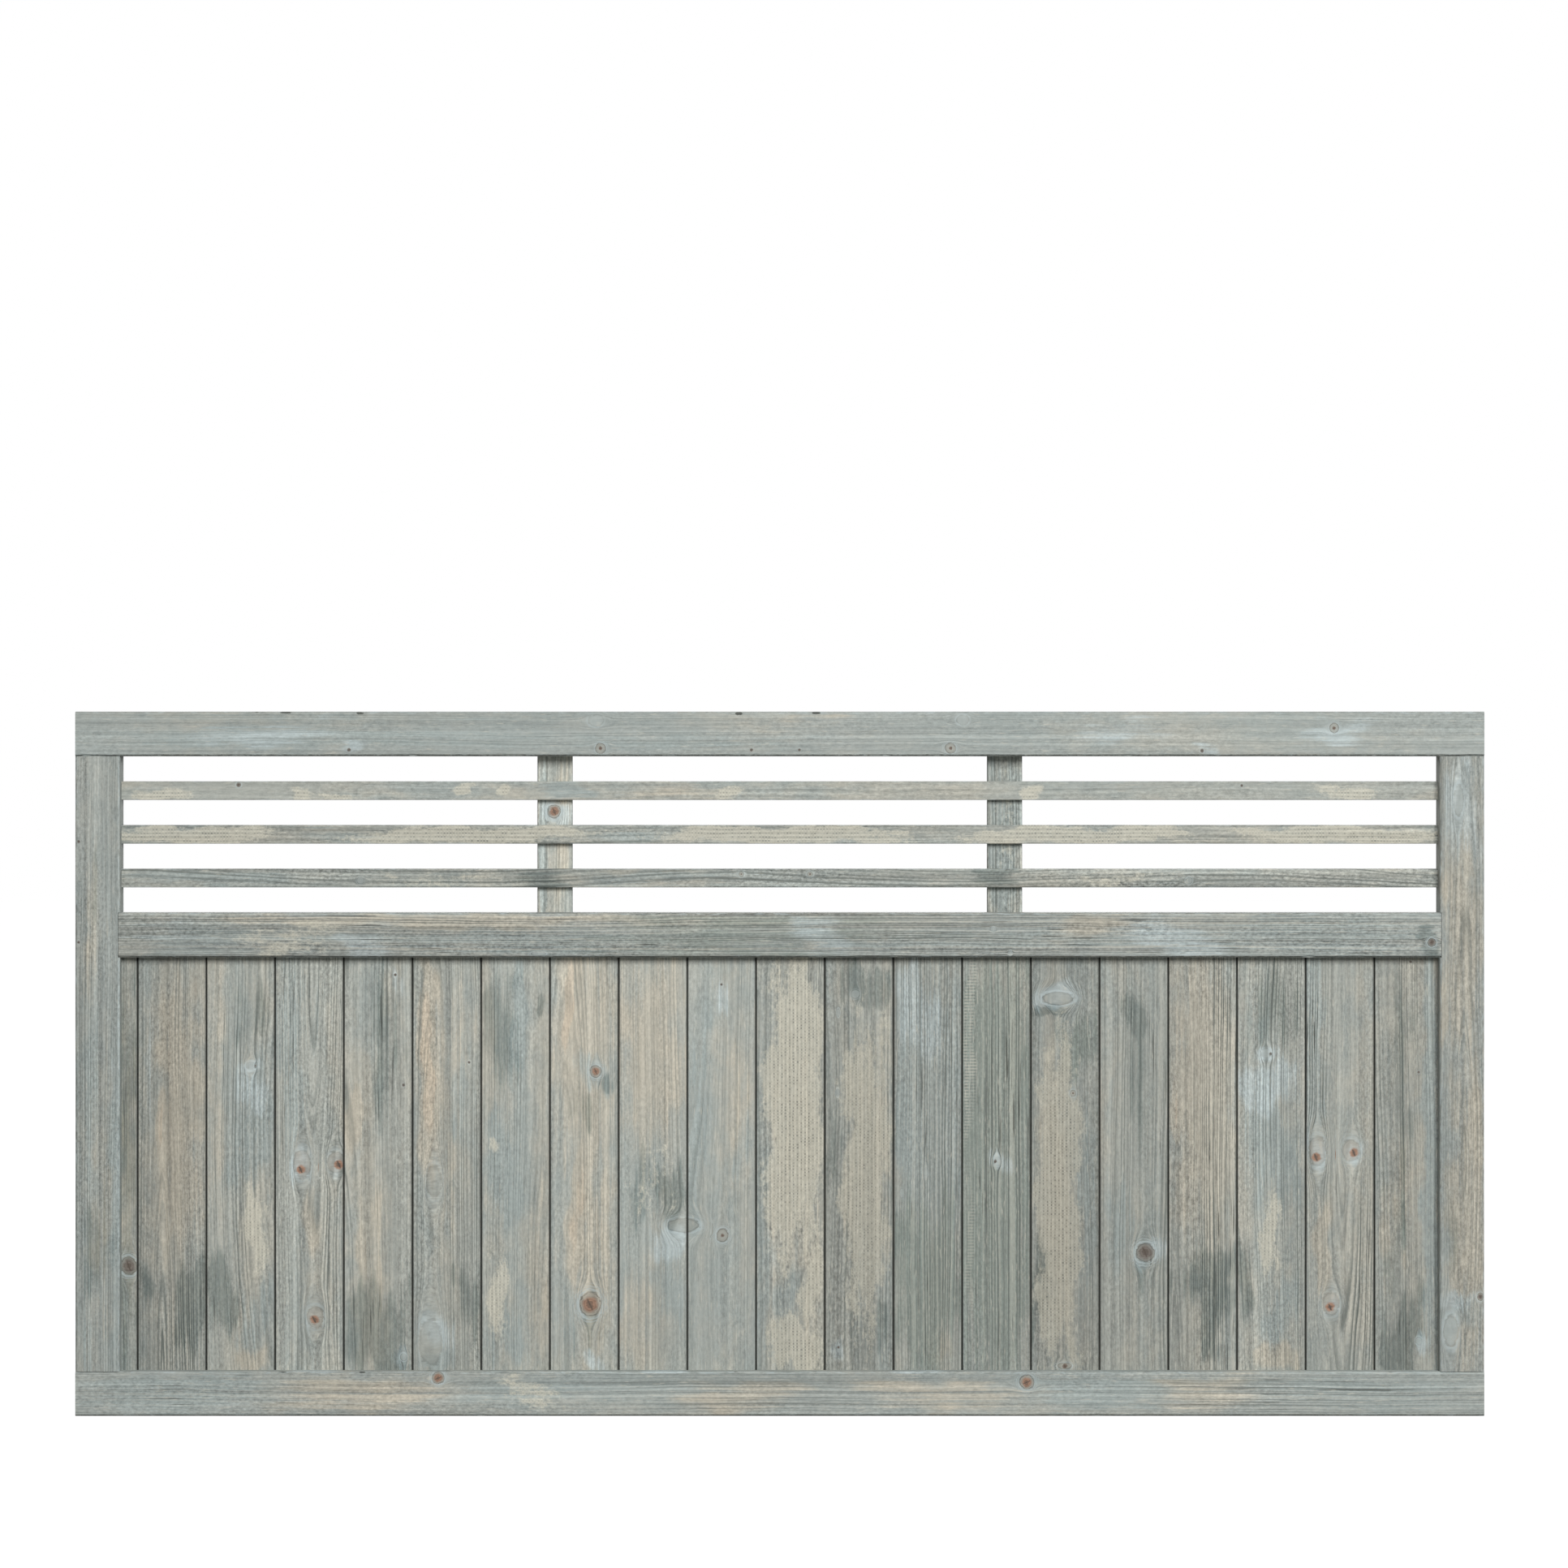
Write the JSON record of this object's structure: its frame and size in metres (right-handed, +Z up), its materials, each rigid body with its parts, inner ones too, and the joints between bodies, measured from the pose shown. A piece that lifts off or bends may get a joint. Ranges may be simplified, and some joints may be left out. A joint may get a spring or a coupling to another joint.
{
  "type": "wooden fence panel",
  "caption": "Weathered grey timber fence panel: upright tongue-and-groove boards in a frame, under an open trellis of level slats.",
  "frame": {"origin": "under the middle of the bottom rail, halfway through the frame's depth", "axes": "+X along the panel, to the right as seen from the front; -Y out of the front face; +Z up"},
  "size_m": [1.8, 0.042, 0.9],
  "materials": {
    "frame_timber": "grey weathered glaze",
    "board_timber": "grey weathered glaze",
    "trellis_timber": "grey weathered glaze",
    "steel": "zinc plated"
  },
  "bodies": {
    "root": {"top_rail": "frame_timber", "middle_rail": "frame_timber", "bottom_rail": "frame_timber", "left_stile": "frame_timber", "right_stile": "frame_timber", "board_01": "board_timber", "board_02": "board_timber", "board_03": "board_timber", "board_04": "board_timber", "board_05": "board_timber", "board_06": "board_timber", "board_07": "board_timber", "board_08": "board_timber", "board_09": "board_timber", "board_10": "board_timber", "board_11": "board_timber", "board_12": "board_timber", "board_13": "board_timber", "board_14": "board_timber", "board_15": "board_timber", "board_16": "board_timber", "board_17": "board_timber", "board_18": "board_timber", "board_19": "board_timber", "board_20": "board_timber", "slat_1": "trellis_timber", "slat_2": "trellis_timber", "slat_3": "trellis_timber", "batten_1": "trellis_timber", "batten_2": "trellis_timber", "corner_screws": "steel", "middle_rail_screws": "steel", "staples": "steel"}
  },
  "joints": []
}
